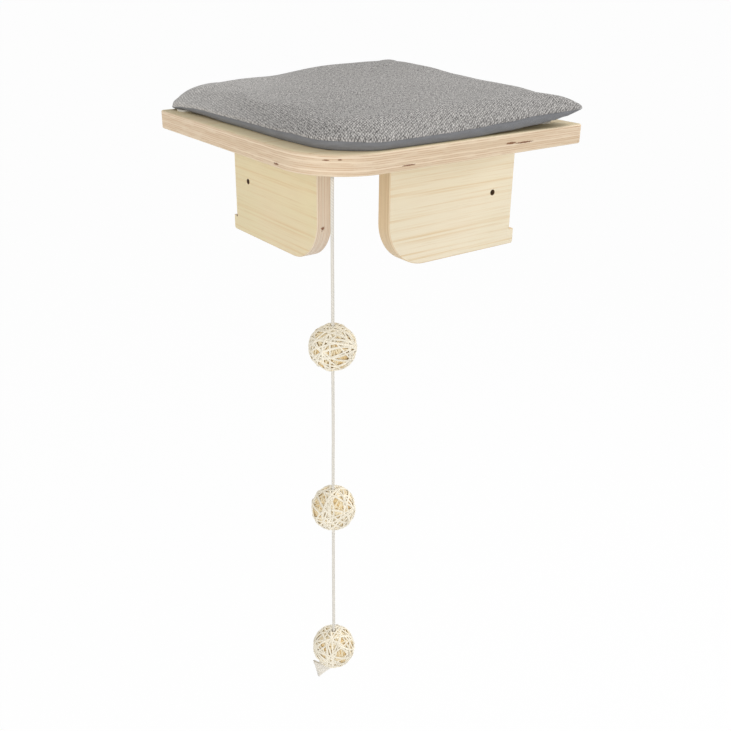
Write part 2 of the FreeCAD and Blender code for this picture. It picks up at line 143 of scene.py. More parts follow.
class ToySettings(bpy.types.PropertyGroup):
    """Hanging cord with its balls."""

    cord: colour("Cord", "Cotton of the cord", tone(231, 226, 216))
    strand: colour("Strand", "Outer strands of the balls", tone(246, 238, 219))
    # The middle and inner strand colours are darker, warmer copies of the strand colour: partly painted shade
    # in the ball's gaps
    middle: colour("Middle strand", "Strands just under the outer ones", tone(239, 223, 188))
    inner: colour("Inner strand", "Strands and core in the gaps", tone(236, 208, 154))
    cord_diameter: length("Cord diameter", "Thickness of the cord", 0.003)
    strand_width: length("Strand width", "Width of one flattened strand", 0.0020)
    strand_height: length("Strand height", "Thickness of one flattened strand", 0.0013)
    ball_radius: length("Ball radius", "Outer radius of a ball", 0.0225)
    loops: bpy.props.IntProperty(name="Strand loops", description="Outer loops on each ball", default=28,
                                 min=4, max=120)


class StageSettings(bpy.types.PropertyGroup):
    """Camera, light and floor."""

    azimuth: bearing("Azimuth", "Camera's turn about the upright axis", -35.54)
    elevation: bearing("Elevation", "Camera's height angle", 23.908)
    roll: bearing("Roll", "Camera's turn about its own axis", 0.304)
    place: bpy.props.FloatVectorProperty(name="Camera place", description="Where the camera stands",
                                         subtype="TRANSLATION", default=(-0.690675, -0.88636, 0.167184))
    lens: bpy.props.FloatProperty(name="Lens", description="Focal length in millimetres", default=44.437,
                                  min=1)
    shift: bpy.props.FloatVectorProperty(name="Shift", description="Lens shift across and up", size=2,
                                         default=(0.02022, -0.01817))
    floor: length("Floor drop", "How far the floor lies below the board", 1.1)


class Value:
    """One shader output; sums, products and the like add Math nodes."""

    def __init__(self, finish, socket):
        self.finish = finish
        self.socket = socket

    def math(self, operation, *others):
        return self.finish.node("Math", {"operation": operation}, self, *others)

    def __add__(self, other):
        return self.math("ADD", other)

    def __sub__(self, other):
        return self.math("SUBTRACT", other)

    def __rsub__(self, other):
        return self.finish.node("Math", {"operation": "SUBTRACT"}, other, self)

    def __mul__(self, other):
        return self.math("MULTIPLY", other)

    def __truediv__(self, other):
        return self.math("DIVIDE", other)

    def __pow__(self, other):
        return self.math("POWER", other)

    def __abs__(self):
        return self.math("ABSOLUTE")

    __radd__ = __add__
    __rmul__ = __mul__

    def step(self, low, high):
        """Smooth step from 0 at low to 1 at high."""
        return self.finish.node("MapRange", {"interpolation_type": "SMOOTHSTEP"}, self, low, high, 0.0, 1.0)


class Finish:
    """A procedural material and the means to add nodes to it."""

    def __init__(self, name, roughness):
        self.material = bpy.data.materials.new(name)
        self.material.use_nodes = True
        self.tree = self.material.node_tree
        self.shader = self.tree.nodes["Principled BSDF"]
        self.set("Roughness", roughness)

    def put(self, socket, value):
        if isinstance(value, Value):
            self.tree.links.new(value.socket, socket)
        elif socket.type == "RGBA" and len(value) == 3:
            socket.default_value = (*value, 1.0)
        else:
            socket.default_value = value

    def node(self, kind, settings, *values, output=0, **named):
        """Add one node: its settings, then its sockets in order, then its sockets by name."""
        made = self.tree.nodes.new("ShaderNode" + kind)
        for key, value in settings.items():
            setattr(made, key, value)
        for key, value in [*enumerate(values), *named.items()]:
            self.put(made.inputs[key], value)
        return Value(self, made.outputs[output])

    def set(self, name, value):
        self.put(self.shader.inputs[name], value)

    def split(self, vector):
        """The three parts of a vector."""
        made = self.tree.nodes.new("ShaderNodeSeparateXYZ")
        self.put(made.inputs[0], vector)
        return [Value(self, s) for s in made.outputs]

    def place(self):
        """Object coordinates in millimetres, as three values."""
        metres = self.node("TexCoord", {}, output="Object")
        return self.split(self.node("VectorMath", {"operation": "SCALE"}, metres, Scale=1000.0))

    def chart(self):
        """The piece's own map in millimetres, as two values."""
        metres = self.node("TexCoord", {}, output="UV")
        return self.split(self.node("VectorMath", {"operation": "SCALE"}, metres, Scale=1000.0))[:2]

    def noise(self, parts, detail=2.0, roughness=0.5):
        """Noise at a point given by up to three values."""
        point = self.node("CombineXYZ", {}, *parts)
        return self.node("TexNoise", {}, Vector=point, Scale=1.0, Detail=detail, Roughness=roughness)

    def blend(self, share, first, second):
        """Colour between two colours."""
        made = self.tree.nodes.new("ShaderNodeMix")
        made.data_type = "RGBA"
        for index, value in ((0, share), (6, first), (7, second)):
            self.put(made.inputs[index], value)
        return Value(self, made.outputs[2])

    def bump(self, height, distance, strength=1.0):
        """Surface relief of a height between 0 and 1, in metres."""
        self.set("Normal", self.node("Bump", {}, Strength=strength, Distance=distance, Height=height))


def plywood(name, wood, stack, along, low, bores=(), gaps=(), pale=0.0, stain=None):
    """Plywood that is layered along one axis, with its face grain along another.

    Faces show a streaked veneer: noise drawn out along the grain. Edges show plies of uneven tone, with thin
    broken glue lines, a few open gaps in the cross plies, and the gaps named as (centre, half length, half
    height). Bores are named as (first axis, second axis, their two places, radius). The last values are the
    share of a paler veneer and a stain for the edges."""
    f = Finish(name, 0.58)
    p = f.place()
    facing = abs(f.split(f.node("TexCoord", {}, output="Normal"))[stack]).step(0.6, 0.9)
    across = 3 - stack - along
    wave = f.noise((p[0] * 0.03, p[1] * 0.03, p[2] * 0.03 + 9.0), 1.0)
    depth = (p[stack] - low + (wave - 0.5) * 0.7) / (wood.ply * 1000)
    layer = depth.math("FLOOR")
    inside = depth - layer
    cross = (layer * 0.5).math("FRACT") * 2.0
    cloud = f.noise((p[along] * 0.010, p[across] * 0.018, p[stack] * 0.02 + 4.0), 2.0)
    grain = f.noise((p[along] * 0.0035, p[across] * 0.24, p[stack] * 0.05), 3.0, 0.6)
    fine = f.noise((p[along] * 0.02, p[across] * 1.1, p[stack] * 0.2), 3.0, 0.6)
    veneer = f.blend(cloud.step(0.35, 0.70) * 0.5, wood.face, wood.blush)
    veneer = f.blend(pale, veneer, wood.bleached)
    veneer = f.blend(grain.step(0.46, 0.72) * 0.75, veneer, wood.streak)
    veneer = f.blend(fine.step(0.50, 0.80) * 0.35, veneer, wood.fleck)
    ends = f.noise((p[0] * 0.9, p[1] * 0.9, p[2] * 0.9), 3.0, 0.7)
    drawn = [p[0] * 0.05, p[1] * 0.05, p[2] * 0.05]
    drawn[stack] = p[stack] * 1.6
    lines = f.noise(drawn, 3.0, 0.6)
    tint = f.noise((p[0] * 0.006, p[1] * 0.006, layer * 7.3), 1.0)
    edge = f.blend((tint + lines * 0.5).step(0.55, 0.95), wood.long_ply, wood.cross_ply)
    edge = f.blend(ends.step(0.40, 0.75) * cross * 0.3, edge, wood.end_grain)
    if stain:
        edge = f.blend(0.4, edge, stain)
    seam = inside.math("MINIMUM", 1.0 - inside)
    glue = f.noise((p[0] * 0.04, p[1] * 0.04, (depth + 0.5).math("FLOOR") * 4.7), 2.0)
    edge = f.blend((1.0 - seam.step(0.0, 0.22)) * glue.step(0.36, 0.58) * 0.75, edge, wood.glue)
    patch = f.noise((p[0] * 0.075, p[1] * 0.075, layer * 5.3 + 2.0), 2.0, 0.6)
    torn = f.noise((p[0] * 0.5, p[1] * 0.5, p[2] * 1.4), 3.0, 0.7)
    middle = 1.0 - (abs(inside - 0.5) * 2.0).step(0.45, 0.95)
    hollow = (patch + torn * 0.18).step(0.86, 0.90) * cross * middle
    for (x, y, z), half, high in gaps:
        away = ((p[0] - x) / half) ** 2.0 + ((p[1] - y) / half) ** 2.0 + ((p[2] - z) / high) ** 2.0
        hollow = hollow.math("MAXIMUM", 1.0 - (away + (torn - 0.5) * 3.2).step(0.45, 0.95))
    edge = f.blend(hollow * 0.92, edge, wood.void)
    skin = f.blend(facing, edge, veneer)
    # Painted shade: a dark disc round each listed bore's axis, on every face
    for first, second, u, v, radius in bores:
        away = ((p[first] - u) ** 2.0 + (p[second] - v) ** 2.0) ** 0.5
        skin = f.blend((1.0 - away.step(radius - 0.05, radius + 0.25)) * 0.85, skin, wood.bore)
    f.set("Base Color", skin)
    f.set("Roughness", 0.52 + fine * 0.16)
    relief = facing * (fine * 0.5 + grain * 0.3) + (1.0 - facing) * (ends * 0.3 + lines * 0.5 - hollow * 1.2)
    f.bump(relief, 0.00035, 0.6)
    return f.material


def weave(name, pad):
    """Pebbled waffle cloth: raised dots where two sets of waves cross, at sin(a + b) * sin(a - b), with the
    sunk gaps painted darker, partly as painted shade.

    The lattice of dots is drawn out along the pad's diagonal and broken by noise. A slow change of tone lies
    over it, with painted light that makes the top paler towards the left corner and painted shade that makes it
    darker towards the walls."""
    f = Finish(name, 0.92)
    u, v = f.chart()
    turn = math.pi / (pad.pitch * 1000)
    wander = f.noise((u * 0.22, v * 0.22, 0.0), 2.0)
    sway = f.noise((u * 0.22, v * 0.22, 8.0), 2.0)
    across = u * 0.814 - v * 0.581
    deep = u * 0.581 + v * 0.814
    a = (across + wander * 3.0) * turn
    b = (deep + sway * 5.0) * (turn * 0.5)
    dots = (a + b).math("SINE") * (a - b).math("SINE")
    grain = f.noise((across * 0.75, deep * 0.45, 2.0), 3.0, 0.7)
    pebble = f.noise((across * 0.34, deep * 0.20, 3.0), 2.0, 0.8)
    slow = f.noise((u * 0.012, v * 0.012, 5.0), 2.0)
    raised = (abs(dots) * 0.45 + grain * 0.9 + pebble * 1.0 - 0.74).step(0.0, 0.85)
    # Darker colour in the sunk gaps: partly painted shade between the raised dots
    skin = f.blend(raised, pad.dark, pad.light)
    skin = f.blend((slow - 0.35).step(0.0, 0.5) * 0.16, skin, pad.cloud)
    # Painted light: paler towards the left corner; then painted shade: darker towards the walls
    skin = f.blend((v - u).step(20.0, 300.0) * 0.34, skin, pad.nap)
    far = (u - v).step(20.0, 300.0).math("MAXIMUM", (u + v).step(-300.0, -60.0))
    skin = f.blend(far * 0.14, skin, pad.shade)
    f.set("Base Color", skin)
    f.set("Sheen Weight", 0.12)
    f.set("Sheen Roughness", 0.6)
    f.bump(abs(dots) * 0.6 + grain * 0.6 + pebble * 0.4, 0.0008, 0.9)
    return f.material


THREAD_PITCH = 0.55


def plain_cloth(name, ground):
    """Fine plain weave: two sets of thin threads over a slow change of tone."""
    f = Finish(name, 0.9)
    u, v = f.chart()
    turn = 2 * math.pi / THREAD_PITCH
    threads = (u * turn).math("SINE") * (v * turn).math("SINE")
    slow = f.noise((u * 0.06, v * 0.2, 1.0), 3.0, 0.6)
    dark = tuple(c * 0.86 for c in ground)
    light = tuple(min(c * 1.08, 1.0) for c in ground)
    skin = f.blend((slow + threads * 0.12).step(0.25, 0.75), dark, light)
    f.set("Base Color", skin)
    f.set("Sheen Weight", 0.08)
    f.bump(threads * 0.5 + slow, 0.0002, 0.5)
    return f.material


def cord_cotton(name, ground, x, y, diameter):
    """Twisted cotton: pale turns that climb round the cord's own upright axis, with painted shade in the
    valleys between.
    """
    f = Finish(name, 0.85)
    p = f.place()
    turn = (p[1] - y * 1000).math("ARCTAN2", p[0] - x * 1000)
    climb = p[2] * (2 * math.pi / (diameter * 2600))
    lay = ((turn * 3.0 + climb * 3.0).math("SINE") + 1.0) * 0.5
    fuzz = f.noise((p[0] * 2.0, p[1] * 2.0, p[2] * 0.9), 3.0, 0.7)
    dark = tuple(c * 0.80 for c in ground)
    # Painted shade: the valleys between the turns are painted 20 % darker
    f.set("Base Color", f.blend((lay * 0.7 + fuzz * 0.6).step(0.2, 0.85), dark, ground))
    f.bump(lay + fuzz * 0.4, 0.0003, 0.7)
    return f.material


def strand_fibre(name, pale, deep, contrast=1.0):
    """Split vine: fine fibres along each strand, and a tone of its own for each strand."""
    f = Finish(name, 0.62)
    u, v = f.chart()
    fibre = f.noise((u * 0.06, v * 2.2, 0.0), 3.0, 0.6)
    own = f.noise((v * 0.13, u * 0.01, 7.0), 1.0)
    skin = f.blend(own.step(0.35, 0.75) * (0.55 * contrast), pale, deep)
    skin = f.blend(fibre.step(0.52, 0.82) * (0.4 * contrast), skin, tuple(c * 0.72 for c in deep))
    f.set("Base Color", skin)
    f.bump(fibre, 0.0002, 0.6)
    return f.material


def coin_pile(name, ground):
    """Short looped pile: close bumps over a pale ground."""
    f = Finish(name, 0.95)
    p = f.place()
    pile = f.noise((p[0] * 2.2, p[1] * 2.2, p[2] * 2.2), 3.0, 0.7)
    f.set("Base Color", f.blend(pile.step(0.3, 0.7), tuple(c * 0.7 for c in ground), ground))
    f.bump(pile, 0.0004, 0.8)
    return f.material


def zinc(name, x, y):
    """Zinc-plated screw with a cross recess in its head, centred on the screw's axis; the recess is painted
    near black as painted shade.
    """
    f = Finish(name, 0.34)
    p = f.place()
    a = abs(p[0] - x * 1000)
    b = abs(p[1] - y * 1000)
    arm = a.math("MINIMUM", b)
    reach = a.math("MAXIMUM", b)
    recess = (1.0 - arm.step(0.45, 0.6)) * (1.0 - reach.step(2.0, 2.3)) * p[2].step(16.0, 17.0)
    haze = f.noise((p[0] * 0.8, p[1] * 0.8, p[2] * 0.8), 3.0)
    plate = f.blend(haze.step(0.3, 0.7), tone(176, 176, 172), tone(204, 203, 198))
    # Painted shade: the cross recess is painted near black and less metallic
    f.set("Base Color", f.blend(recess, plate, tone(40, 40, 40)))
    f.set("Metallic", 1.0 - recess * 0.6)
    f.set("Roughness", 0.28 + haze * 0.2 + recess * 0.3)
    f.bump(haze * 0.2 - recess * 2.0, 0.0004, 0.6)
    return f.material


def quads(shape):
    """Vertex numbers of the quads in a stack of grids of points, shaped (grids, rows, columns)."""
    number = np.arange(np.prod(shape)).reshape(shape)
    ring = (number[:, :-1, :-1], number[:, 1:, :-1], number[:, 1:, 1:], number[:, :-1, 1:])
    return np.stack(ring, axis=-1).reshape(-1, 4)


def make_piece(name, points, chart, body, material, slot):
    """Mesh piece from a stack of point grids and a map of the same size; touching rows are merged."""
    points = points if points.ndim == 4 else points[None]
    chart = chart if chart.ndim == 4 else chart[None]
    faces = quads(points.shape[:3])
    mesh = bpy.data.meshes.new(name)
    mesh.from_pydata(points.reshape(-1, 3), [], faces)
    layer = mesh.uv_layers.new(name="Map")
    layer.data.foreach_set("uv", chart.reshape(-1, 2)[faces.ravel()].astype(np.float32).ravel())
    work = bmesh.new()
    work.from_mesh(mesh)
    bmesh.ops.remove_doubles(work, verts=work.verts, dist=1e-6)
    bmesh.ops.dissolve_degenerate(work, edges=work.edges, dist=1e-7)
    bmesh.ops.recalc_face_normals(work, faces=work.faces)
    work.to_mesh(mesh)
    work.free()
    mesh.shade_smooth()
    mesh.materials.append(material)
    piece = bpy.data.objects.new(name, mesh)
    bpy.context.scene.collection.objects.link(piece)
    if body:
        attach(piece, body)
    return piece


def dress(material, *names):
    """Give CAD nodes one material."""
    for name in names:
        mesh = frame["nodes"][name].data
        mesh.materials.clear()
        mesh.materials.append(material)


def lathe(profile, turns, x, y):
    """Surface of revolution: a (radius, height) profile carried round the upright line through (x, y)."""
    angle = np.linspace(0, 2 * math.pi, turns + 1)
    r, z = np.asarray(profile, float).T
    grid = np.stack([x + np.outer(np.cos(angle), r), y + np.outer(np.sin(angle), r),
                     np.tile(z, (turns + 1, 1))], -1)
    walk = np.concatenate([[0], np.cumsum(np.hypot(np.diff(r), np.diff(z)))])
    chart = np.stack(np.broadcast_arrays(angle[:, None] * r.max(), walk[None]), -1)
    return grid, chart


# Map of a tube in metres: its width round the tube, and the step from one tube to the next
TUBE_MAP_WIDTH = 0.006
TUBE_MAP_STEP = 0.05


def tubes(path, outward, width, height, sides, number):
    """Elliptic tubes along paths shaped (tubes, steps, 3).

    Each point is centre + width * side * cos + height * outward * sin, with the halves of width and height."""
    along = np.gradient(path, axis=1)
    along /= np.linalg.norm(along, axis=-1, keepdims=True)
    side = np.cross(along, outward)
    side /= np.linalg.norm(side, axis=-1, keepdims=True)
    up = np.cross(side, along)
    t = np.linspace(0, 2 * math.pi, sides + 1)
    width = np.broadcast_to(width, path.shape[:2])[..., None, None] / 2
    height = np.broadcast_to(height, path.shape[:2])[..., None, None] / 2
    beside = side[:, :, None] * width * np.cos(t)[:, None]
    above = up[:, :, None] * height * np.sin(t)[:, None]
    grid = path[:, :, None] + beside + above
    step = np.linalg.norm(np.diff(path, axis=1), axis=-1)
    walk = np.concatenate([np.zeros((len(path), 1)), np.cumsum(step, axis=1)], axis=1)
    band = t / (2 * math.pi) * TUBE_MAP_WIDTH + (np.arange(len(path)) + number)[:, None] * TUBE_MAP_STEP
    chart = np.stack(np.broadcast_arrays(walk[:, :, None], band[:, None, :]), -1)
    return grid, chart


def closed_ends(grid, chart):
    """The same tubes with each end drawn to its middle point."""
    first = np.repeat(grid[:, :1].mean(axis=2, keepdims=True), grid.shape[2], axis=2)
    last = np.repeat(grid[:, -1:].mean(axis=2, keepdims=True), grid.shape[2], axis=2)
    grid = np.concatenate([first, grid, last], axis=1)
    chart = np.concatenate([chart[:, :1], chart, chart[:, -1:]], axis=1)
    return grid, chart


# Open gaps in the plies in millimetres: centre, half length, half height
BOARD_GAPS = (((-299.2, -229.5, 3.4), 4.6, 1.1), ((-284.0, -281.0, 13.5), 3.2, 0.6),
              ((-275.5, -288.5, 14.0), 2.2, 0.6), ((-213.0, -300.0, 4.3), 8.0, 0.7),
              ((-95.0, -300.0, 9.9), 7.0, 1.1), ((-78.0, -300.0, 9.0), 12.0, 0.9))
LEFT_BRACKET_GAPS = (((-213.2, -168.0, -81.5), 2.6, 3.4),)
# Painted shade: a small dark spot in the left bracket's face at its notch corner, in millimetres: along, up,
# radius
LEFT_BRACKET_NOTCH_SHADE = (-6.6, -103.6, 1.3)


class PERCH_OT_board(bpy.types.Operator):
    """Finish the platform board as plywood."""

    bl_idname = "perch.board"
    bl_label = "Platform board"

    def execute(self, context):
        dress(plywood("board plywood", context.scene.perch_wood, 2, 0, 0.0, gaps=BOARD_GAPS), "platform_board")
        return {"FINISHED"}


class PERCH_OT_brackets(bpy.types.Operator):
    """Finish the two brackets as plywood, each layered across its thickness."""

    bl_idname = "perch.brackets"
    bl_label = "Brackets"

    def execute(self, context):
        wood = context.scene.perch_wood
        bores = {m["name"]: m for m in frame["record"]["mounts"] if m["kind"] == "bore"}
        for side, stack, along in (("left", 0, 1), ("right", 1, 0)):
            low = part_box(side + "_bracket")[0][stack] * 1000
            bore = bores[side + "_cross_bore"]
            place = [c * 1000 for c in bore["pos_m"]]
            hole = (along, 2, place[along], place[2], bore["dims"]["r_mm"])
            if side == "left":
                # The left bracket gets painted shade round its bore and a painted shade spot at its notch
                # corner
                dark, marks = [hole, (along, 2, *LEFT_BRACKET_NOTCH_SHADE)], LEFT_BRACKET_GAPS
                pale, stain = 0.0, tone(212, 203, 194)
            else:
                dark, marks = [hole], ()
                pale, stain = 0.65, tone(212, 192, 148)
            finish = plywood(side + " bracket plywood", wood, stack, along, low, dark, marks, pale, stain)
            dress(finish, side + "_bracket")
        return {"FINISHED"}


class PERCH_OT_screws(bpy.types.Operator):
    """Finish the screws under the pad."""

    bl_idname = "perch.screws"
    bl_label = "Screws"

    def execute(self, context):
        for name in sorted(n for n in frame["nodes"] if "_screw_" in n):
            low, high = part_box(name)
            dress(zinc(name + " zinc", (low.x + high.x) / 2, (low.y + high.y) / 2), name)
        return {"FINISHED"}


class PERCH_OT_coins(bpy.types.Operator):
    """Hook-and-loop coins: soft-edged discs, the loop half on the board and the hook half under the pad."""

    bl_idname = "perch.coins"
    bl_label = "Coins"

    def execute(self, context):
        pile = coin_pile("coin pile", context.scene.perch_pad.coin)
        for corner in CORNERS:
            for half, body in (("loop", "frame"), ("hook", "pad")):
                node = half + "_coin_" + corner
                low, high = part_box(node)
                radius = (high.x - low.x) / 2
                soft = (high.z - low.z) * 0.45
                t = np.linspace(0, math.pi / 2, 6)
                top = np.stack([radius - soft + soft * np.sin(t), high.z - soft + soft * np.cos(t)], -1)
                foot = top[::-1] * [1, -1] + [0, low.z + high.z]
                profile = np.concatenate([[[0, high.z]], top, foot, [[0, low.z]]])
                grid, chart = lathe(profile, 40, (low.x + high.x) / 2, (low.y + high.y) / 2)
                disc = make_piece(half + "_disc_" + corner, grid, chart, body, pile, "coin_fabric")
                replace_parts(disc, node)
        return {"FINISHED"}


def between(value, places, levels):
    """Smooth value read from a closed list of places and levels."""
    places = np.asarray(places, float)
    levels = np.asarray(levels, float)
    index = np.clip(np.searchsorted(places, value, side="right") - 1, 0, len(places) - 2)
    t = (value - places[index]) / (places[index + 1] - places[index])
    t = t * t * (3 - 2 * t)
    return levels[index] * (1 - t) + levels[index + 1] * t


def pad_plan(count):
    """Plan of the pad: rounded rectangle whose corners reach out and whose sides draw in.

    Points are evenly spaced from the left corner along the left front side, round the front and back along the
    walls. Also gives their outward directions, and their stages from 0 to 8: even numbers are corner middles
    (left, front, right, back), odd ones side middles."""
    low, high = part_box("pad_top_panel")
    x0, y0, x1, y1 = low.x, low.y, high.x, high.y
    arcs = []
    corners = ((x0, y1, 0.015, 90), (x0, y0, 0.056, 180), (x1, y0, 0.014, 270), (x1, y1, 0.016, 0))
    for cx, cy, r, start in corners:
        sx = 1 if cx == x0 else -1
        sy = 1 if cy == y0 else -1
        t = np.radians(np.linspace(start, start + 90, 41))
        arcs.append(np.stack([cx + sx * r + r * np.cos(t), cy + sy * r + r * np.sin(t)], -1))
    ring = np.concatenate([arcs[0][20:], arcs[1], arcs[2], arcs[3], arcs[0][:21]])
    walk = np.concatenate([[0], np.cumsum(np.linalg.norm(np.diff(ring, axis=0), axis=1))])
    corner = walk[[0, 41, 82, 123, len(walk) - 1]]
    even = np.linspace(0, walk[-1], count + 1)
    plan = np.stack([np.interp(even, walk, ring[:, k]) for k in (0, 1)], -1)
    stage = np.interp(even, corner, [0, 2, 4, 6, 8])
    ahead = np.roll(plan[:-1], -1, axis=0) - np.roll(plan[:-1], 1, axis=0)
    out = np.stack([ahead[:, 1], -ahead[:, 0]], -1)
    out = np.concatenate([out, out[:1]])
    out /= np.linalg.norm(out, axis=1, keepdims=True)
    reach = between(stage, [0, 0.14, 0.5, 1, 1.4, 1.75, 2, 2.3, 3, 3.6, 3.9, 4, 4.12, 4.5, 7.7, 8],
                    [6.5, 1.8, -0.8, -2.6, -2.6, -5.4, -3.8, -0.8, 0, 0.8, 4.4, 7.0, 1.5, 0, 0, 6.5])
    plan = plan + out * reach[:, None] * 0.001
    return plan, out, stage


# Edge of the pad: stage along its plan, and heights of the band's foot and of the seam in millimetres
PAD_EDGE = ((0, 1.4, 3.0), (0.16, 2.5, 5.2), (0.35, 2.1, 6.9), (0.8, 0.5, 6.9), (1.3, 0.3, 7.4),
            (1.6, 0.3, 8.2), (1.8, 0.3, 7.7), (2.0, 0.3, 8.2), (2.3, 0.3, 7.2), (2.8, 0.3, 7.7),
            (3.0, 0.4, 8.5), (3.3, 2.0, 10.6), (3.6, 4.2, 13.4), (3.75, 6.6, 14.2), (3.85, 9.0, 14.8),
            (4.0, 13.5, 15.4), (4.4, 6.4, 15.2), (5.0, 3.0, 14.8), (6.0, 2.0, 15.0), (7.0, 1.6, 11.2),
            (7.6, 0.8, 8.6), (8, 1.4, 3.0))


def pad_levels(stage):
    """Heights above the board of the band's foot and of the seam, along the pad's plan."""
    places, foot, seam = np.array(PAD_EDGE).T
    return between(stage, places, foot) * 0.001, between(stage, places, seam) * 0.001


# Shape of the pad's top, in shares of the board's side and heights in millimetres
BOARD_SIDE = 0.3
# Crown over the front, right, left and back corners
PAD_CROWN = (20.0, 27.0, 23.5, 40.0)
# Swells and hollows: two places, height, width
PAD_DENTS = ((0.24, 0.92, 2.2, 0.11), (0.48, 0.92, -0.8, 0.08), (0.64, 0.94, 1.7, 0.11),
             (0.93, 0.93, -1.4, 0.10), (0.93, 0.50, -2.4, 0.13), (0.93, 0.25, 0.8, 0.08),
             (0.97, 0.02, 2.4, 0.08), (0.45, 0.45, 0.8, 0.16))
# Creases: two places, turn, depth, length
PAD_CREASES = ((0.62, 0.86, 0.5, 1.2, 0.07), (0.80, 0.80, 0.1, 1.3, 0.08), (0.84, 0.66, -0.4, 1.1, 0.06),
               (0.70, 0.74, 0.9, 0.9, 0.09), (0.40, 0.80, 0.2, 0.8, 0.10))
CREASE_WIDTH = 0.012
RIPPLE = 0.35


def pad_swell(x, y):
    """Height of the pad's top above the board, away from its edges.

    It is a slope between the four corners' heights, plus round swells, slow waves and narrow creases."""
    u = (x + BOARD_SIDE) / BOARD_SIDE
    v = (y + BOARD_SIDE) / BOARD_SIDE
    front, right, left, back = PAD_CROWN
    rise = front * (1 - u) * (1 - v) + right * u * (1 - v) + left * (1 - u) * v + back * u * v
    for across, inward, high, wide in PAD_DENTS:
        rise = rise + high * np.exp(-((u - across) ** 2 + (v - inward) ** 2) / wide ** 2)
    rise += RIPPLE * np.sin(29 * v + 11 * u + 2.0) * np.sin(13 * u - 8 * v)
    for across, inward, turn, deep, long in PAD_CREASES:
        along = (u - across) * math.cos(turn) + (v - inward) * math.sin(turn)
        beside = (v - inward) * math.cos(turn) - (u - across) * math.sin(turn) + 0.25 * along ** 2
        rise = rise - deep * np.exp(-(beside / CREASE_WIDTH) ** 2 - (along / long) ** 2)
    return rise * 0.001


PAD_PROUD = 0.0011
PAD_PROUD_WIDTH = 0.006


def pad_form(count):
    """Top of the pad: the plan drawn in to its middle, at the height seam + (crown - seam) * full.

    The share called full rolls up from 0 at the edge to 1 inside. Just inside the edge the top stands a little
    proud. Also gives the plan, its outward directions, and the heights of the band's foot and seam."""
    board_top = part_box("platform_board")[1].z
    plan, out, stage = pad_plan(count)
    foot, seam = pad_levels(stage)
    middle = plan[:-1].mean(axis=0)
    span = ((plan - middle) * out).sum(axis=1)
    s = 1 - np.linspace(0, 1, 91)[::-1] ** 1.6
    s = np.sort(np.concatenate([s, [0.985, 0.993, 0.997]]))
    flat = middle + (plan - middle)[:, None] * s[None, :, None]
    inset = span[:, None] * (1 - s)[None]
    roll = between(stage, [0, 0.5, 1, 2, 3, 3.6, 4, 4.4, 5, 6, 7, 7.5, 8],
                   [46, 44, 40, 44, 40, 44, 60, 34, 24, 26, 24, 40, 46])[:, None] * 0.001
    share = np.clip(inset / roll, 0, 1)
    full = (1 - (1 - share) ** 2.3) ** 0.72
    crown = pad_swell(flat[..., 0], flat[..., 1])
    height = seam[:, None] + (crown - seam[:, None]) * full
    proud = PAD_PROUD * np.sin(np.pi * np.clip(inset / PAD_PROUD_WIDTH, 0, 1)) ** 1.2
    flat = flat + out[:, None] * proud[..., None]
    top = np.concatenate([flat, (board_top + height)[..., None]], axis=-1)
    return top, plan, out, foot, seam


# Heights above the board: middle of the cover's underside, and the level below which the cloth step holds it
UNDER_LIFT = 0.0095
HOLD_LEVEL = 0.0102
PUFF_FRAMES = 16
PUFF_LIMIT = 0.0012
BAND_DEPTH = 0.0045
BASE_INSET = 0.0022
BASE_THICKNESS = 0.001


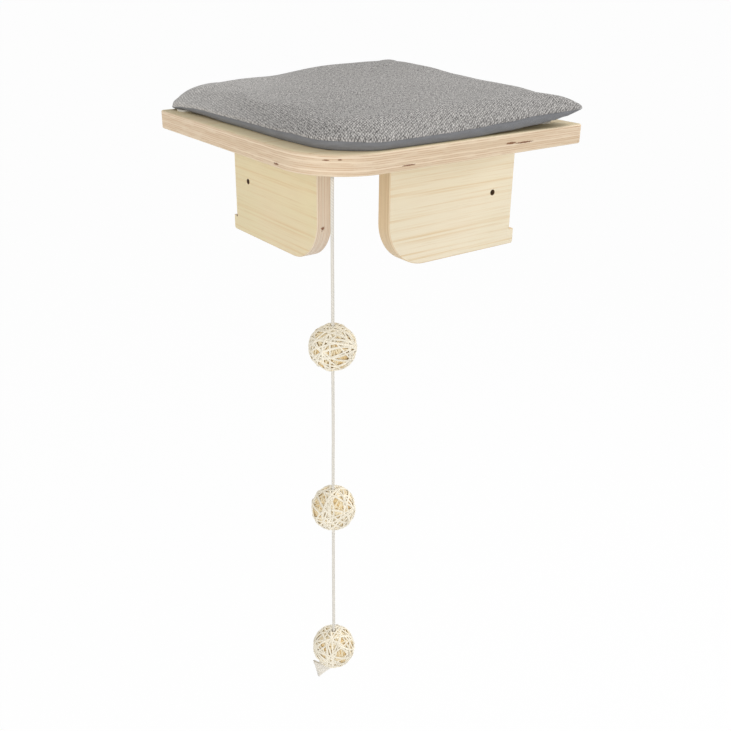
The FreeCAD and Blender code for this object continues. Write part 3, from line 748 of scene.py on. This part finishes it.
class PERCH_OT_pad(bpy.types.Operator):
    """Soft pad: a crowned woven top, a plain side band and a plain base, each a closed form."""

    bl_idname = "perch.pad"
    bl_label = "Pad"

    def execute(self, context):
        pad = context.scene.perch_pad
        board_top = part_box("platform_board")[1].z
        top, plan, out, foot, seam = pad_form(360)
        middle = plan[:-1].mean(axis=0)
        steps = np.linalg.norm(np.diff(top, axis=1), axis=-1)
        walk = np.concatenate([np.zeros((len(top), 1)), np.cumsum(steps, axis=1)], axis=1)
        ray = (plan - middle) / np.linalg.norm(plan - middle, axis=1, keepdims=True)
        chart = middle + ray[:, None] * walk[..., None]
        hub = np.tile([*middle, board_top + UNDER_LIFT], (len(plan), 1, 1))
        grid = np.concatenate([top, hub], axis=1)
        chart = np.concatenate([chart, chart[:, -1:]], axis=1)
        cover = make_piece("pad_cover", grid, chart, None, weave("pad weave", pad), "pad_weave")
        self.puff(context, cover, board_top + HOLD_LEVEL)
        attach(cover, "pad")
        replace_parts(cover, "pad_top_panel", "pad_foam")
        self.band(pad, board_top, plan, out, foot, seam)
        self.base(pad, board_top, plan, out, foot)
        return {"FINISHED"}

    def puff(self, context, cover, level):
        """Let the cover swell and pucker a little by a cloth simulation, and keep the result.

        Points below the level are held, and no point moves further than the limit."""
        mesh = cover.data
        rest = np.zeros(len(mesh.vertices) * 3, np.float32)
        mesh.vertices.foreach_get("co", rest)
        rest = rest.reshape(-1, 3)
        held = cover.vertex_groups.new(name="held")
        held.add(np.flatnonzero(rest[:, 2] < level).tolist(), 1.0, "REPLACE")
        cloth = cover.modifiers.new("puff", "CLOTH")
        cloth.settings.quality = 5
        cloth.settings.mass = 0.25
        cloth.settings.tension_stiffness = 25
        cloth.settings.compression_stiffness = 25
        cloth.settings.shear_stiffness = 12
        cloth.settings.bending_stiffness = 3.0
        cloth.settings.use_pressure = True
        cloth.settings.uniform_pressure_force = 0.2
        cloth.settings.shrink_min = -0.0012
        cloth.settings.vertex_group_mass = "held"
        cloth.settings.effector_weights.gravity = 0
        cloth.collision_settings.use_collision = False
        cloth.point_cache.frame_end = PUFF_FRAMES
        for number in range(1, PUFF_FRAMES + 1):
            context.scene.frame_set(number)
        shaped = cover.evaluated_get(context.evaluated_depsgraph_get()).to_mesh()
        moved = np.zeros(len(rest) * 3, np.float32)
        shaped.vertices.foreach_get("co", moved)
        move = moved.reshape(-1, 3) - rest
        far = np.linalg.norm(move, axis=1, keepdims=True)
        move = move * np.minimum(1, PUFF_LIMIT / np.maximum(far, 1e-9))
        cover.modifiers.clear()
        cover.vertex_groups.clear()
        mesh.vertices.foreach_set("co", (rest + move).astype(np.float32).ravel())
        mesh.update()
        context.scene.frame_set(1)

    def band(self, pad, board_top, plan, out, foot, seam):
        """Side band: a strip from foot to seam that swells by a half sine, closed by a second strip behind."""
        t = np.linspace(0, 1, 9)
        swell = 0.0009 * np.sin(np.pi * t) - 0.0018 * (1 - t) ** 2 - 0.0003
        z = board_top + foot[:, None] + (seam - foot + 0.0004)[:, None] * t[None]
        face = np.concatenate([plan[:, None] + out[:, None] * swell[None, :, None], z[..., None]], axis=-1)
        inner = np.broadcast_to((plan - out * BAND_DEPTH)[:, None], face[..., :2].shape)
        back = np.concatenate([inner, z[..., None]], axis=-1)[:, ::-1]
        grid = np.concatenate([face, back, face[:, :1]], axis=1)
        step = np.linalg.norm(np.diff(plan, axis=0), axis=1)
        walk = np.concatenate([[0], np.cumsum(step)])
        rows = np.linspace(0, 0.03, grid.shape[1])
        chart = np.stack(np.broadcast_arrays(walk[:, None], rows[None]), -1)
        cloth = plain_cloth("pad band cloth", pad.band)
        strip = make_piece("pad_band_cloth", grid, chart, "pad", cloth, "pad_band")
        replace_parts(strip, "pad_side_band")

    def base(self, pad, board_top, plan, out, foot):
        """Base panel: a thin closed sheet that lies level inside and follows the band's foot at its edge."""
        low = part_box("pad_base_panel")[0]
        middle = plan[:-1].mean(axis=0)
        edge = plan - out * BASE_INSET
        s = np.linspace(0, 1, 40)
        flat = middle + (edge - middle)[:, None] * s[None, :, None]
        near = np.clip((s - 0.86) / 0.14, 0, 1)
        near = near * near * (3 - 2 * near)
        z = low.z + 0.0001 + (board_top + foot[:, None] + 0.0003 - low.z) * near[None]
        under = np.concatenate([flat, z[..., None]], axis=-1)
        over = under[:, ::-1] + [0, 0, BASE_THICKNESS]
        grid = np.concatenate([under, over], axis=1)
        cloth = plain_cloth("pad base cloth", pad.under)
        sheet = make_piece("pad_base_cloth", grid, grid[..., :2], "pad", cloth, "pad_base")
        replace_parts(sheet, "pad_base_panel")


def knot_path(x, y, low, high, radius, wraps):
    """Helix round the cord: a circle of one radius that climbs evenly, with its ends drawn in to the cord."""
    t = np.linspace(0, 1, 97)
    turn = 2 * math.pi * wraps * t
    r = radius * np.clip(np.minimum(t, 1 - t) / 0.08, 0.35, 1)
    return np.stack([x + r * np.cos(turn), y + r * np.sin(turn), low + (high - low) * t], -1)[None]


# Route of each stretch of cord: places beside the cord's axis, and heights
CORD_ROUTES = {
    "upper": ((0, 0, -0.0100), (-0.0002, 0.0001, -0.0600), (0.0001, -0.0002, -0.1250), (0, 0, -0.1871)),
    "middle": ((0, 0, -0.1880), (0.0003, -0.0002, -0.2400), (-0.0001, 0.0002, -0.3050), (0, 0, -0.3601)),
    "lower": ((0, 0, -0.3610), (-0.0002, -0.0001, -0.4150), (0.0002, 0.0002, -0.4750), (0, 0, -0.5340)),
}
# Lengths at the joints: name, body above and below, top and foot, start and end of the bend, replaced node
CORD_BENDS = (
    ("cord_bend_board", "frame", "neck", 0.0158, -0.0060, 0.0005, -0.0045, "cord_stem"),
    ("cord_bend_neck", "neck", "upper_cord", -0.0058, -0.0165, -0.0070, -0.0130, "cord_neck"),
    ("cord_bend_middle", "upper_cord", "middle_cord", -0.1835, -0.1925, -0.1850, -0.1910, None),
    ("cord_bend_lower", "middle_cord", "lower_cord", -0.3565, -0.3655, -0.3580, -0.3640, None),
)
# How far a joint length stands proud of the cord that it covers
BEND_PROUD = 0.00004


class PERCH_OT_cord(bpy.types.Operator):
    """Hanging cord: a smooth line for each stretch, with short lengths at the joints, and knots."""

    bl_idname = "perch.cord"
    bl_label = "Cord and knots"

    def execute(self, context):
        toy = context.scene.perch_toy
        low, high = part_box("cord_upper")
        x, y = (low.x + high.x) / 2, (low.y + high.y) / 2
        d = toy.cord_diameter
        cotton = cord_cotton("cord cotton", toy.cord, x, y, d)
        self.bends(x, y, d, cotton)
        self.knots(x, y, d, cotton)
        bends = {"upper": "cord_bend_neck", "middle": "cord_bend_middle", "lower": "cord_bend_lower"}
        layers = ("strands", "middle_strands", "inner_strands", "heart")
        for name, places in CORD_ROUTES.items():
            route = [(x + beside, y + behind, z) for beside, behind, z in places]
            hung = ["ball_%s_%s" % (name, layer) for layer in layers]
            hung += ["stop_knot_%s_wraps" % name, bends[name]]
            if name == "lower":
                hung.append("tail_fibres")
            line = bpy.data.curves.new("cord_line_" + name, "CURVE")
            line.dimensions = "3D"
            spline = line.splines.new("NURBS")
            spline.points.add(len(route) - 1)
            for point, place in zip(spline.points, route):
                point.co = (*place, 1.0)
            spline.order_u = 3
            spline.use_endpoint_u = True
            spline.resolution_u = 24
            line.bevel_depth = d / 2
            line.bevel_resolution = 5
            line.use_fill_caps = True
            line.materials.append(cotton)
            piece = bpy.data.objects.new("cord_line_" + name, line)
            context.scene.collection.objects.link(piece)
            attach(piece, name + "_cord")
            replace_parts(piece, "cord_" + name)
            route[0][2] - route[-1][2]
            [o for o in bpy.data.objects if o.name in hung]
        return {"FINISHED"}

    def bends(self, x, y, d, cotton):
        """Short straight lengths of cord across each joint."""
        for name, above, below, top, foot, start, end, node in CORD_BENDS:
            z = np.linspace(top, foot, 33)
            profile = np.stack([np.full(33, d / 2 + BEND_PROUD), z], -1)
            profile = np.concatenate([[[0, top]], profile, [[0, foot]]])
            grid, chart = lathe(profile, 24, x, y)
            piece = make_piece(name, grid, chart, None, cotton, "cord_cotton")
            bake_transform(piece)
            if node:
                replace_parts(piece, node)

    def knots(self, x, y, d, cotton):
        """Barrel knots: the cord wound round itself, over the board's hole and inside the foot of each ball."""
        places = [("stop_knot_" + ball, ball + "_cord") for ball in BALLS]
        for node, body in [("cord_anchor_knot", "frame"), *places]:
            low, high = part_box(node)
            outer = (high.x - low.x) / 2
            thick = min(d, outer - d / 2)
            path = knot_path(x, y, low.z + thick / 2, high.z - thick / 2, outer - thick / 2, 2.5)
            away = (path - [x, y, 0]) * [1, 1, 0]
            grid, chart = closed_ends(*tubes(path, away, thick, thick, 12, 0))
            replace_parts(make_piece(node + "_wraps", grid, chart, body, cotton, "cord_cotton"), node)


# Room that the strands leave round the cord, and round the knot at the foot
CORD_GAP = 0.0028
KNOT_GAP = 0.0056
# Heart of a ball: how far its skin is sunk, and its bore, knot pocket and the pocket's roof below the middle
HEART_SUNK = 0.0021
HEART_BORE = 0.0023
HEART_POCKET = 0.0045
POCKET_ROOF = 0.0118


class PERCH_OT_balls(bpy.types.Operator):
    """Balls of split vine: loops laid at all angles over and under each other, round a darker heart; the under
    strands and the heart are darker copies of the strand colour, partly painted shade in the gaps.
    """

    bl_idname = "perch.balls"
    bl_label = "Balls"

    def execute(self, context):
        toy = context.scene.perch_toy
        pale = strand_fibre("ball strand", toy.strand, tuple(0.82 * c for c in toy.strand))
        # Middle and inner layers and the heart take darker copies, partly painted shade in the gaps
        mellow = strand_fibre("ball middle strand", toy.middle, tuple(0.8 * c for c in toy.middle))
        deep = strand_fibre("ball inner strand", toy.inner, tuple(0.8 * c for c in toy.inner))
        layers = (("strands", toy.loops, 0.0, 0.0011, CORD_GAP, pale, "ball_strand"),
                  ("middle_strands", 26, 0.0012, 0.0010, KNOT_GAP, mellow, "ball_strand"),
                  ("inner_strands", 36, 0.0021, 0.0008, KNOT_GAP, deep, "ball_core"))
        for number, name in enumerate(BALLS):
            low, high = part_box("ball_%s_core" % name)
            body = name + "_ball"
            x, y, z = (low + high) / 2
            rng = np.random.default_rng(41 + number)
            r = toy.ball_radius - toy.strand_height / 2
            for layer, count, sunk, weave_depth, foot_gap, fibre, slot in layers:
                wound = self.loops(rng, toy, count, r - sunk, weave_depth, foot_gap, (x, y, z))
                piece = make_piece("ball_%s_%s" % (name, layer), *wound, body, fibre, slot)
                if layer == "strands":
                    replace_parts(piece, "ball_%s_winding" % name)
            t = np.linspace(-1.33, 1.42, 41)
            rim = np.stack([(r - HEART_SUNK) * np.cos(t), z + (r - HEART_SUNK) * np.sin(t)], -1)
            roof = z - POCKET_ROOF
            bore = [(HEART_BORE, rim[-1, 1]), (HEART_BORE, roof),
                    (HEART_POCKET, roof), (HEART_POCKET, rim[0, 1])]
            grid, chart = lathe(np.concatenate([rim, bore, rim[:1]]), 48, x, y)
            heart = make_piece("ball_%s_heart" % name, grid, chart, body, deep, "ball_core")
            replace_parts(heart, "ball_%s_core" % name)
        return {"FINISHED"}

    def loops(self, rng, toy, count, radius, weave_depth, foot_gap, centre):
        """Small circles on a sphere, each with its own pole and offset.

        The radius waves in and out along each loop. Five loops run close by the cord. Others that come nearer
        to it are left out, at the top and at the foot."""
        spread = count * 2
        number = rng.permutation(spread)
        height = 1 - (2 * number + 1) / spread
        golden = math.pi * (3 - math.sqrt(5)) * number
        ring = np.sqrt(1 - height ** 2)
        pole = np.stack([ring * np.cos(golden), ring * np.sin(golden), height], -1)
        pole = pole + rng.normal(0, 0.15, (spread, 3))
        pole /= np.linalg.norm(pole, axis=1, keepdims=True)
        offset = rng.uniform(-0.75, 0.75, spread) * radius
        heading = np.arange(5) * math.pi / 5 + rng.uniform(0, 1)
        hand = np.array([1, -1, 1, -1, 1]) / (2 * radius)
        rise = hand * (foot_gap - CORD_GAP)
        level = np.cos(rise)
        pole[:5] = np.stack([np.cos(heading) * level, np.sin(heading) * level, np.sin(rise)], -1)
        offset[:5] = radius * np.sin(hand * (foot_gap + CORD_GAP + 0.0006))
        reach = np.sqrt(radius ** 2 - offset ** 2)
        tilt = np.sqrt(1 - pole[:, 2] ** 2)
        turn = np.arctan2(offset, reach)
        lean = np.arcsin(np.clip(pole[:, 2], -1, 1))
        clear = (np.abs(turn - lean) > CORD_GAP / radius) & (np.abs(turn + lean) > foot_gap / radius)
        keep = np.flatnonzero(clear & (tilt > 0.02))[:count]
        pole, offset = pole[keep], offset[keep]
        first = np.cross(pole, rng.normal(size=pole.shape))
        first /= np.linalg.norm(first, axis=1, keepdims=True)
        second = np.cross(pole, first)
        t = np.linspace(0, 2 * math.pi, 97)
        waves = rng.integers(3, 8, len(pole))[:, None]
        phase = rng.uniform(0, 2 * math.pi, len(pole))[:, None]
        unit = (pole[:, None] * (offset / radius)[:, None, None]
                + np.sqrt(1 - (offset / radius) ** 2)[:, None, None]
                * (first[:, None] * np.cos(t)[:, None] + second[:, None] * np.sin(t)[:, None]))
        depth = weave_depth * (0.5 + 0.5 * np.sin(waves * t + phase))
        path = unit * (radius - depth)[..., None]
        width = toy.strand_width * rng.uniform(0.8, 1.15, len(pole))[:, None]
        grid, chart = tubes(path, unit, width, toy.strand_height, 8, 3)
        grid[:, -1] = grid[:, 0]
        return grid + np.array(centre), chart


class PERCH_OT_tail(bpy.types.Operator):
    """Frayed end: thin fibres that leave the cord's foot in one bundle and fan out to one side."""

    bl_idname = "perch.tail"
    bl_label = "Frayed end"

    def execute(self, context):
        toy = context.scene.perch_toy
        low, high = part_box("cord_lower")
        x, y, z = (low.x + high.x) / 2, (low.y + high.y) / 2, low.z
        rng = np.random.default_rng(7)
        count = 240
        side = np.array([-0.8137, 0.5813, 0.0])
        deep = np.array([0.5813, 0.8137, 0.0])
        up = np.array([0.0, 0.0, 1.0])
        share = np.linspace(0, 1, count) + rng.normal(0, 0.015, count)
        root = np.array([x, y, z + 0.0015]) + 0.0008 * rng.normal(size=(count, 1)) * deep
        start = root - up * (0.0040 * share)[:, None] + side * (0.0010 * share)[:, None]
        reach = 0.0217 - 0.0055 * share + rng.normal(0, 0.0003, count)
        rise = 0.0043 - 0.0219 * share
        scatter = deep * rng.normal(0, 0.0006, (count, 1))
        end = np.array([x, y, z]) + side * reach[:, None] + up * rise[:, None] + scatter
        bend = (start + end) / 2 + up * (0.0085 * share - 0.0065)[:, None]
        t = np.linspace(0, 1, 12)[None, :, None]
        path = start[:, None] * (1 - t) ** 2 + bend[:, None] * 2 * t * (1 - t) + end[:, None] * t ** 2
        wide = 0.0013 - 0.0005 * t[..., 0]
        grid, chart = closed_ends(*tubes(path, np.broadcast_to(deep, path.shape), wide, 0.0007, 6, 0))
        cotton = strand_fibre("tail fibre", toy.cord, tuple(0.9 * c for c in toy.cord), 0.4)
        tail = make_piece("tail_fibres", grid, chart, "lower_cord", cotton, "cord_cotton")
        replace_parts(tail, "frayed_tail")
        return {"FINISHED"}


# Lamps: name, place, size, power
LAMPS = (("left", (-1.95, -0.4, 0.20), 1.4, 13.6), ("right", (-0.25, -2.1, 0.2), 1.4, 14.0),
         ("side", (1.35, -0.3, 0.90), 0.9, 24.0))
LAMP_AIM = (-0.15, -0.15, -0.1)


class PERCH_OT_stage(bpy.types.Operator):
    """Floor, plain soft light and the camera."""

    bl_idname = "perch.stage"
    bl_label = "Stage"

    def execute(self, context):
        stage = context.scene.perch_stage
        self.floor(stage)
        self.lights(context)
        a, e, r = stage.azimuth, stage.elevation, stage.roll
        right = np.array([math.cos(a), math.sin(a), 0.0])
        ahead = np.array([-math.sin(a) * math.cos(e), math.cos(a) * math.cos(e), -math.sin(e)])
        up = np.cross(right, ahead)
        right, up = right * math.cos(r) + up * math.sin(r), up * math.cos(r) - right * math.sin(r)
        lens = bpy.data.cameras.new("camera")
        lens.sensor_width = 36.0
        lens.lens = stage.lens
        lens.shift_x, lens.shift_y = stage.shift
        lens.clip_end = 100.0
        camera = bpy.data.objects.new("camera", lens)
        turn = Matrix(np.stack([right, up, -ahead], axis=1).tolist()).to_4x4()
        camera.matrix_world = Matrix.Translation(stage.place) @ turn
        context.scene.collection.objects.link(camera)
        context.scene.camera = camera
        context.scene.view_settings.view_transform = "Standard"
        return {"FINISHED"}

    def floor(self, stage):
        """Wide level floor that a camera sees as near white, with the shadows that fall on it."""
        edge = np.linspace(-60, 60, 3)
        grid = np.stack([*np.meshgrid(edge, edge, indexing="ij"), np.full((3, 3), -stage.floor)], -1)
        f = Finish("floor", 0.9)
        f.set("Base Color", (0.86, 0.86, 0.86))
        made = f.tree.nodes
        glow = made.new("ShaderNodeEmission")
        glow.inputs["Strength"].default_value = 1.0
        seen = made.new("ShaderNodeLightPath")
        mix = made.new("ShaderNodeMixShader")
        rays = Value(f, seen.outputs["Is Camera Ray"]) + Value(f, seen.outputs["Is Glossy Ray"])
        rays = (rays + Value(f, seen.outputs["Is Transmission Ray"])).math("MINIMUM", 1.0)
        f.put(mix.inputs[0], rays * 0.97)
        f.tree.links.new(f.shader.outputs[0], mix.inputs[1])
        f.tree.links.new(glow.outputs[0], mix.inputs[2])
        f.tree.links.new(mix.outputs[0], made["Material Output"].inputs["Surface"])
        mesh = bpy.data.meshes.new("floor")
        mesh.from_pydata(grid.reshape(-1, 3), [], quads((1, 3, 3)))
        mesh.materials.append(f.material)
        floor = bpy.data.objects.new("floor", mesh)
        bpy.context.scene.collection.objects.link(floor)

    def lights(self, context):
        """Even white surround, with a broad lamp before each front side and a smaller one to the right."""
        world = bpy.data.worlds.new("surround")
        world.use_nodes = True
        tree = world.node_tree
        ground = tree.nodes["Background"]
        ground.inputs["Color"].default_value = (1, 1, 1, 1)
        path = tree.nodes.new("ShaderNodeLightPath")
        level = tree.nodes.new("ShaderNodeMapRange")
        tree.links.new(path.outputs["Is Camera Ray"], level.inputs["Value"])
        level.inputs["To Min"].default_value = 0.47
        level.inputs["To Max"].default_value = 1.0
        tree.links.new(level.outputs[0], ground.inputs["Strength"])
        context.scene.world = world
        for name, place, size, power in LAMPS:
            lamp = bpy.data.lights.new(name, "AREA")
            lamp.size = size
            lamp.energy = power
            lit = bpy.data.objects.new(name, lamp)
            back = np.array(place) - np.array(LAMP_AIM)
            back /= np.linalg.norm(back)
            side = np.cross([0, 0, 1], back)
            side /= np.linalg.norm(side)
            turn = Matrix(np.stack([side, np.cross(back, side), back], axis=1).tolist()).to_4x4()
            lit.matrix_world = Matrix.Translation(place) @ turn
            context.scene.collection.objects.link(lit)


STEPS = (PERCH_OT_board, PERCH_OT_brackets, PERCH_OT_screws, PERCH_OT_coins, PERCH_OT_pad, PERCH_OT_balls,
         PERCH_OT_tail, PERCH_OT_cord, PERCH_OT_stage)


class PERCH_PT_panel(bpy.types.Panel):
    """Lists the steps that dress the perch, and their settings."""

    bl_idname = "PERCH_PT_panel"
    bl_label = "Cat perch"
    bl_space_type = "VIEW_3D"
    bl_region_type = "UI"
    bl_category = "Cat perch"

    def draw(self, context):
        for step in STEPS:
            self.layout.operator(step.bl_idname)
        for group in ("perch_wood", "perch_pad", "perch_toy", "perch_stage"):
            box = self.layout.box()
            settings = getattr(context.scene, group)
            for key in settings.bl_rna.properties.keys():
                if key not in ("rna_type", "name"):
                    box.prop(settings, key)


CLASSES = (WoodSettings, PadSettings, ToySettings, StageSettings, *STEPS, PERCH_PT_panel)


def register():
    """Register the classes and hang their settings on the scene."""
    for item in CLASSES:
        bpy.utils.register_class(item)
    bpy.types.Scene.perch_wood = bpy.props.PointerProperty(type=WoodSettings)
    bpy.types.Scene.perch_pad = bpy.props.PointerProperty(type=PadSettings)
    bpy.types.Scene.perch_toy = bpy.props.PointerProperty(type=ToySettings)
    bpy.types.Scene.perch_stage = bpy.props.PointerProperty(type=StageSettings)


def unregister():
    """Take the settings and classes away again."""
    for group in ("perch_wood", "perch_pad", "perch_toy", "perch_stage"):
        delattr(bpy.types.Scene, group)
    for item in reversed(CLASSES):
        bpy.utils.unregister_class(item)


def main():
    """Dress the perch step by step."""
    register()
    bpy.ops.perch.board()
    bpy.ops.perch.brackets()
    bpy.ops.perch.screws()
    bpy.ops.perch.coins()
    bpy.ops.perch.pad()
    bpy.ops.perch.balls()
    bpy.ops.perch.tail()
    bpy.ops.perch.cord()
    bpy.ops.perch.stage()


if __name__ == "__main__":
    main()
